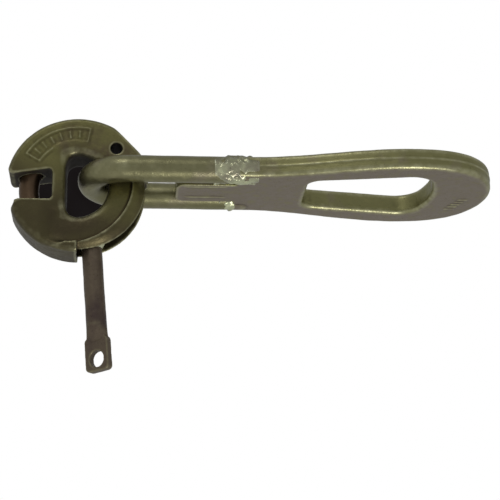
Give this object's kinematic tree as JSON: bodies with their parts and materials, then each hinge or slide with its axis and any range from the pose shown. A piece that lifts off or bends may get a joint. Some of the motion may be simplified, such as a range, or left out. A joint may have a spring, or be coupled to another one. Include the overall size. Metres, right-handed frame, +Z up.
{
  "type": "ring clutch",
  "caption": "Ring clutch with an arc locking bolt, release lever and pear-eyed link, for gripping a cast-in lifting anchor and hanging the load from a crane hook.",
  "frame": {"origin": "where the crane hook bears, in the crown of the link's eye", "axes": "+Z up along the link towards the eye's crown, -Y out of the ring's front face, +X along the closed release lever"},
  "size_m": [0.1676, 0.0978, 0.3173],
  "materials": {
    "ring_casting": "yellow zinc passivated, satin, slightly rough cast skin",
    "link_forging": "yellow zinc passivated, satin, forged skin",
    "bow_bar": "yellow zinc passivated round bar, satin",
    "bolt_steel": "browned and rubbed bright by use",
    "lever_steel": "passivated with a purple-brown bloom, satin",
    "weld_metal": "rippled weld bead, plated over"
  },
  "bodies": {
    "link": {"link_eye_forging": "link_forging", "link_bow": "bow_bar", "front_leg_weld": "weld_metal", "rear_leg_weld": "weld_metal"},
    "ring": {"ring_body": "ring_casting"},
    "bolt": {"locking_bolt": "bolt_steel", "release_lever": "lever_steel", "lever_root_weld": "weld_metal"}
  },
  "joints": [
    {"name": "link_swing", "type": "hinge", "parent": "link", "child": "ring", "pos_m": [0, 0, -0.20267], "axis": [1, 0, 0], "range_deg": [-95, 95]},
    {"name": "bolt_turn", "type": "hinge", "parent": "ring", "child": "bolt", "pos_m": [0.0065, 0, -0.234], "axis": [0, -1, 0], "range_deg": [0, 60]}
  ]
}
